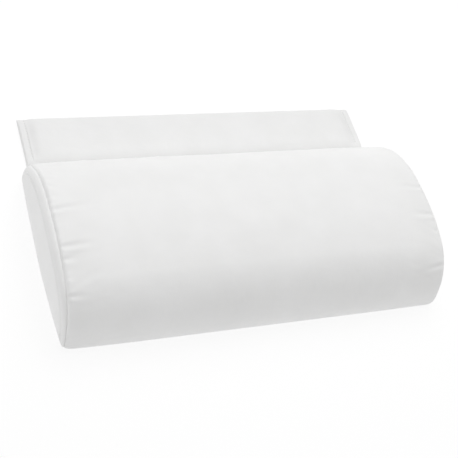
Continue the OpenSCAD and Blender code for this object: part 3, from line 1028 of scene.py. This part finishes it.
def make_pull():
    """The pull: a flat tab that widens to a round end with a hole, and an eye for the bridge."""
    tip_x = PULL_END + PULL_HALF_W
    angle = np.linspace(math.pi / 2, 1.5 * math.pi, 25)
    end = np.stack([tip_x + PULL_HALF_W * np.cos(angle), PULL_HALF_W * np.sin(angle)], -1)
    flank = [(-15, -3.3), (-11, -2.9), (-7.5, -2.65), (-5, -PULL_NECK), (0, -PULL_NECK), (0.45, -2.4),
             (0.6, -2.0), (0.6, 2.0), (0.45, 2.4), (0, PULL_NECK), (-5, PULL_NECK), (-7.5, 2.65),
             (-11, 2.9), (-15, 3.3)]
    outer = np.concatenate([end, np.array(flank, float)])
    turn = np.linspace(0, 2 * math.pi, 29)[:-1]
    hole = np.stack([tip_x + PULL_HOLE_R * np.cos(turn), PULL_HOLE_R * np.sin(turn)], -1)
    eye = soft_rectangle(1.85, 1.6, 6, 28) + [-2.45, 0]
    curve = bpy.data.curves.new("pull_outline", "CURVE")
    curve.dimensions = "2D"
    curve.fill_mode = "BOTH"
    curve.extrude = (PULL_HALF_T - PULL_EDGE) * MM
    curve.bevel_depth = PULL_EDGE * MM
    curve.bevel_resolution = 2
    curve.offset = -PULL_EDGE * MM
    for line in (outer, hole, eye):
        spline = curve.splines.new("POLY")
        spline.points.add(len(line) - 1)
        for point, (x, y) in zip(spline.points, line):
            point.co = (x * MM, y * MM, 0, 1)
        spline.use_cyclic_u = True
    holder = bpy.data.objects.new("pull_outline", curve)
    SCENE.collection.objects.link(holder)
    bpy.context.view_layer.update()
    mesh = bpy.data.meshes.new_from_object(holder.evaluated_get(bpy.context.evaluated_depsgraph_get()))
    bpy.data.objects.remove(holder)
    bpy.data.curves.remove(curve)
    mesh.name = "zip_pull_tab"
    obj = bpy.data.objects.new("zip_pull_tab", mesh)
    SCENE.collection.objects.link(obj)
    clean(obj)
    for vertex in obj.data.vertices:
        vertex.co += Vector(PIVOT * MM)
    obj.data.set_sharp_from_angle(angle=SHARP_ANGLE)
    finish_piece(obj, "zip_pull", METAL)
    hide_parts("zip_pull")


make_pull()

STOP_LOW, STOP_HIGH = box_mm("zip_top_stops")
BOX_LOW, BOX_HIGH = box_mm("zip_bottom_box")


def make_stops():
    stop = soft_rectangle((STOP_HIGH[0] - STOP_LOW[0]) / 2, 0.7, 4, 24)
    middle = (STOP_LOW[0] + STOP_HIGH[0]) / 2
    parts = [slab(stop, STOP_LOW[2], STOP_HIGH[2], 0.3, (middle, ZIP_Y + side * 2.5)) for side in (-1, 1)]
    add_solid("zip_top_stops_moulded", parts, "bolster", PLASTIC, "zip_top_stops")
    middle = (BOX_LOW[0] + BOX_HIGH[0]) / 2
    half = (BOX_HIGH[0] - BOX_LOW[0]) / 2
    shell = slab(soft_rectangle(half, 3, 6, 32), BOX_LOW[2] + 0.25, BOX_HIGH[2] - 0.25, 0.35, (middle, ZIP_Y))
    ribs = [slab(soft_rectangle(half - 0.7, 0.55, 4, 20), BOX_LOW[2], BOX_HIGH[2], 0.25,
                 (middle, ZIP_Y + at)) for at in (-1.7, 0, 1.7)]
    add_solid("zip_bottom_box_moulded", [shell, *ribs], "bolster", PLASTIC, "zip_bottom_box")


make_stops()

# ---------------------------------------------------------------- flap

FLAP_LOW, FLAP_HIGH = box_mm("flap_cover")
HEM_LOW, HEM_HIGH = box_mm("flap_hem_stitch_right")
SIDE_EASE = 0.9
END_EASE = 1.2
ROOT_EASE = 2.6
FLAP_HALF = FLAP_HIGH[0] - SIDE_EASE
FLAP_END = FLAP_HIGH[1] - END_EASE
POUCH_T = FLAP_HIGH[2]
POUCH_Y = FLAP_LOW[1] + ROOT_EASE
HEM_T = HEM_LOW[2]
HEM_STITCH = FLAP_HALF - (HEM_LOW[0] + HEM_HIGH[0]) / 2
HEM_W = HEM_STITCH + 1
HEM_FADE = 11
SIDE_ROUND = 1.8
POUCH_RISE = 20
POUCH_SLOPE = 0.035
POUCH_ARCH = 0.8
HEM_RISE = 13
FALL_LEN = 15
FALL_ROUND = 1.0
UNDER_ROUND = 5
FOLD_SHARE = 0.43
FLAP_WALL = 0.9


def rounded(distance, radius):
    """0 at an edge, rising on a quarter circle to 1 at radius from it."""
    return np.sqrt(1 - np.clip(1 - distance / radius, 0, 1) ** 2)


def risen(distance, length, thick):
    """Thickness that grows from the web's at the root to thick over length."""
    t = np.clip(distance / length, 0, 1)
    return WEB_T + (thick - WEB_T) * (1 - (1 - t) ** 2.2)


def flap_thickness(x, y):
    """Thickness of the flap before its edges are rounded: the hems, and the pouch between."""
    e = FLAP_HALF - np.abs(x)
    d = y - POUCH_Y
    tug = 0.35 * np.sin(y * 0.42 + np.sign(x)) + 0.25 * np.sin(y * 0.83 + 1.2)
    share = smoothstep((e - HEM_W - tug) / HEM_FADE)
    filled = np.clip(d / POUCH_RISE, 0, 1)
    wave = (0.16 * np.sin(x * 0.031 + 0.4) * np.sin(y * 0.09)
            + 0.1 * np.sin(x * 0.083 + 1.9) * np.sin(y * 0.15 + 1))
    from_middle = y - (POUCH_Y + FLAP_END) / 2
    crown = POUCH_SLOPE * from_middle - POUCH_ARCH * (2 * from_middle / (FLAP_END - POUCH_Y)) ** 2
    pouch = risen(d, POUCH_RISE, POUCH_T) + (crown + wave) * filled
    hem = risen(d, HEM_RISE, HEM_T) + 0.08 * np.sin(y * 0.3 + np.sign(x)) * filled
    return hem + (pouch - hem) * share


def at_root(height, y):
    """height, closed round the web's middle plane where the flap starts."""
    return WEB_T / 2 + (height - WEB_T / 2) * rounded(y - POUCH_Y, 0.8)


def flap_top(x, y):
    e = FLAP_HALF - np.abs(x)
    fall = 1 - np.clip(1 - (FLAP_END - y) / FALL_LEN, 0, 1) ** 2
    shape = rounded(e, SIDE_ROUND) * (0.2 + 0.8 * fall) * rounded(FLAP_END - y, FALL_ROUND)
    top = flap_thickness(x, y) * (FOLD_SHARE + (1 - FOLD_SHARE) * shape)
    sewn = smoothstep((y - POUCH_Y - 6) / 8) * smoothstep((FLAP_END - y) / 6)
    return at_root(top - 0.75 * bell(e - HEM_STITCH, 0.75) * sewn, y)


def flap_under(x, y):
    e = FLAP_HALF - np.abs(x)
    shape = rounded(e, SIDE_ROUND) * rounded(FLAP_END - y, UNDER_ROUND)
    low = flap_thickness(x, y) * FOLD_SHARE * (1 - shape)
    return at_root(low + 0.3 * bell(e - HEM_STITCH, 1.0), y)


FLAP_RISE = np.array([0, 0.05, 0.2, 0.45, 0.8, 1.3, 2, 3, 4.2, 5.6, 7.2, 9, 11, 13.5, 16.5, 20, 24]) + POUCH_Y
FLAP_FALL = FLAP_END - np.array([19.5, 16.8, 14.3, 12, 10, 8.2, 6.6, 5.2, 4, 3, 2.2, 1.5, 0.95, 0.55, 0.25,
                                 0.07, 0])
FLAP_MIDDLE = np.linspace(FLAP_RISE[-1], FLAP_FALL[0], 9)[1:-1]
SIDE_E = np.array([0, 0.03, 0.12, 0.3, 0.55, 0.85, 1.2, 1.8, 2.8, 4.2, 5.8, 7, 7.8, 8.3, 8.7, 9, 9.3, 9.7,
                   10.2, 10.8, 11.5, 12.4, 13.5, 15, 17, 19.3, 22, 25.5, 30, 36])


def make_flap():
    x = both_sides(FLAP_HALF - SIDE_E, 60)[None, :]
    y_top = np.concatenate([FLAP_RISE, FLAP_MIDDLE, FLAP_FALL])[:, None]
    y_under = y_top[-2:0:-1]
    points = np.concatenate([sheet(x, y_top, flap_top(x, y_top)),
                             sheet(x, y_under, flap_under(x, y_under))])
    obj = grid_object("flap_cover_pouch", points, closed=True)
    clean(obj, merge=0.002)
    thicken(obj, FLAP_WALL)
    finish_piece(obj, "flap", FLAP_VINYL_PAINTED_SHADE)
    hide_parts("flap_cover")


make_flap()

WEB_FROM = UPPER_EDGE_Y + 1.1
WEB_TO = POUCH_Y + 0.6


def make_web():
    """The strip that the flap folds on, sewn under the bolster's upper edge."""
    x = np.linspace(-FLAP_HALF, FLAP_HALF, 90)[None, :]
    width = WEB_TO - WEB_FROM
    y = np.concatenate([[0, 0.15, 0.5], np.arange(1.1, width - 0.6, 0.6),
                        [width - 0.5, width - 0.15, width]])
    near_edge = np.minimum(y, y[-1] - y)
    half = WEB_T / 2 * np.sqrt(1 - np.clip(1 - near_edge / 0.5, 0, 0.96) ** 2)
    loop_y = np.concatenate([y, y[::-1]])[:, None] + WEB_FROM
    loop_z = WEB_T / 2 + np.concatenate([half, -half[::-1]])[:, None]
    obj = grid_object("flap_web", sheet(x, loop_y, loop_z), closed=True, caps=True)
    clean(obj)
    obj.data.materials.append(FLAP_VINYL_PAINTED_SHADE)
    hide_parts("flap_root_strip")
    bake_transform(obj)


make_web()

WEB_STITCH_LOW, WEB_STITCH_HIGH = box_mm("flap_web_stitch")
UP = np.array([0.0, 0.0, 1.0])
for side, word in ((-1, "left"), (1, "right")):
    at_x = side * (FLAP_HALF - HEM_STITCH)
    at_y = np.linspace(HEM_LOW[1], HEM_HIGH[1] + 2.5, 40)
    row = sheet(at_x, at_y, flap_top(at_x, at_y))
    make_stitches(f"stitches_hem_{word}", row, UP, "flap", f"flap_hem_stitch_{word}")
web_y = (WEB_STITCH_LOW[1] + WEB_STITCH_HIGH[1]) / 2
make_stitches("stitches_web", [(WEB_STITCH_LOW[0], web_y, WEB_T), (WEB_STITCH_HIGH[0], web_y, WEB_T)],
              UP, "flap", "flap_web_stitch")

# Inside of the flap: the sewn sleeve with its weights, and a thin pad over it

SLEEVE_LOW, SLEEVE_HIGH = box_mm("weight_sleeve")
PAD_LOW, PAD_HIGH = box_mm("flap_foam")
WEIGHTS = ["weight_1", "weight_2", "weight_3", "weight_4"]
# Stations from the pad's side inwards, and the one that lies over the sleeve's side
PAD_SIDE = [0, 0.4, 1, 2, 4, 6, 7.3, 8.2, 9, 10, 11.5, 13.5, 16, 18, 18.6, 19, 19.4, 20]
OVER_SLEEVE = 19.2
PAD_CLEAR = 0.15
PAD_LEAST = 0.25


def make_sleeve():
    """Two layers of lining, sewn to each other between the weights and round the edge."""
    edges = [SLEEVE_LOW[0]]
    for left, right in zip(WEIGHTS, WEIGHTS[1:]):
        edges.append((box_mm(left)[1][0] + box_mm(right)[0][0]) / 2)
    edges = np.array(edges + [SLEEVE_HIGH[0]])
    x = np.linspace(SLEEVE_LOW[0], SLEEVE_HIGH[0], 321)[None, :]
    y = np.linspace(SLEEVE_LOW[1], SLEEVE_HIGH[1], 41)[:, None]
    from_seam = np.abs(x[..., None] - edges).min(-1)
    from_side = np.minimum(y - SLEEVE_LOW[1], SLEEVE_HIGH[1] - y)
    full = rounded(from_seam, 2.2) * rounded(from_side, 3.0)
    middle = (SLEEVE_LOW[2] + SLEEVE_HIGH[2]) / 2
    half = 0.25 + ((SLEEVE_HIGH[2] - SLEEVE_LOW[2]) / 2 - 0.25) * full
    points = np.concatenate([sheet(x, y, middle + half), sheet(x, y, middle - half)[::-1]])
    obj = grid_object("weight_sleeve_sewn", points, closed=True, caps=True)
    clean(obj)
    finish_piece(obj, "flap", CLOTH)
    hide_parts("weight_sleeve")


def make_flap_pad():
    """The pad over the sleeve, which reaches down to the lower cover at each side of it."""
    side = PAD_HIGH[0] - np.array(PAD_SIDE) * (PAD_HIGH[0] - SLEEVE_HIGH[0]) / OVER_SLEEVE
    x = both_sides(side, 70)[None, :]
    y = np.linspace(PAD_LOW[1], PAD_HIGH[1], 24)[:, None]
    over_sleeve = smoothstep((SLEEVE_HIGH[0] + 0.9 - np.abs(x)) / 0.8)
    lining = flap_under(x, y) + FLAP_WALL + PAD_CLEAR
    low = lining + (SLEEVE_HIGH[2] + PAD_CLEAR - lining) * over_sleeve
    top = np.maximum(flap_top(x, y) - FLAP_WALL - PAD_CLEAR, low + PAD_LEAST)
    points = np.concatenate([sheet(x, y, top), sheet(x, y, low)[::-1]])
    obj = grid_object("flap_pad", points, closed=True, caps=True)
    clean(obj)
    finish_piece(obj, "flap", FOAM)
    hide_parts("flap_foam")


make_sleeve()
make_flap_pad()
for name in WEIGHTS:
    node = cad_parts[name]
    node.data.materials.clear()
    node.data.materials.append(STEEL)
    bevel = node.modifiers.new("rounded_edges", "BEVEL")
    bevel.width = 0.4 * MM
    bevel.segments = 2
    bevel.limit_method = "ANGLE"

# ---------------------------------------------------------------- stage, light and colour

FLOOR_HALF = 3.0
FLOOR_Z = -0.0006
# Soft boxes: name, direction that the light comes from, and power in watts
SOFT_BOXES = [
    ("key", (0.2, 0.37, 0.91), 24.6),
    ("back", (0, 0.78, 0.62), 3.0),
    ("left", (-0.7, 0.1, 0.7), 3.2),
]
BOX_DISTANCE = 2.2
BOX_SIZE = 2.6
WORLD_LIGHT = 0.48


def make_stage():
    corners = np.array([(-1, -1, 0), (1, -1, 0), (1, 1, 0), (-1, 1, 0)]) * FLOOR_HALF
    floor = add_mesh("floor", corners / MM, [[0, 1, 2, 3]], smooth=False)
    floor.location.z = FLOOR_Z
    material = bpy.data.materials.new("pale_floor")
    material.use_nodes = True
    shader = material.node_tree.nodes["Principled BSDF"]
    shader.inputs["Base Color"].default_value = (0.25, 0.25, 0.25, 1)
    shader.inputs["Roughness"].default_value = 0.9
    shader.inputs["Emission Color"].default_value = (1, 1, 1, 1)
    shader.inputs["Emission Strength"].default_value = 0.77
    floor.data.materials.append(material)


def make_light():
    world = bpy.data.worlds.new("soft_room")
    world.use_nodes = True
    background = world.node_tree.nodes["Background"]
    background.inputs["Color"].default_value = (1, 1, 1, 1)
    background.inputs["Strength"].default_value = WORLD_LIGHT
    SCENE.world = world
    for name, place, power in SOFT_BOXES:
        data = bpy.data.lights.new(name, "AREA")
        data.shape = "DISK"
        data.size = BOX_SIZE
        data.energy = power
        box = bpy.data.objects.new(name, data)
        direction = Vector(place).normalized()
        box.location = direction * BOX_DISTANCE
        box.rotation_mode = "QUATERNION"
        box.rotation_quaternion = direction.to_track_quat("Z", "Y")
        SCENE.collection.objects.link(box)
    SCENE.view_settings.view_transform = "Standard"
    SCENE.view_settings.look = "None"
    SCENE.view_settings.exposure = 0
    SCENE.view_settings.gamma = 1


make_stage()
make_light()
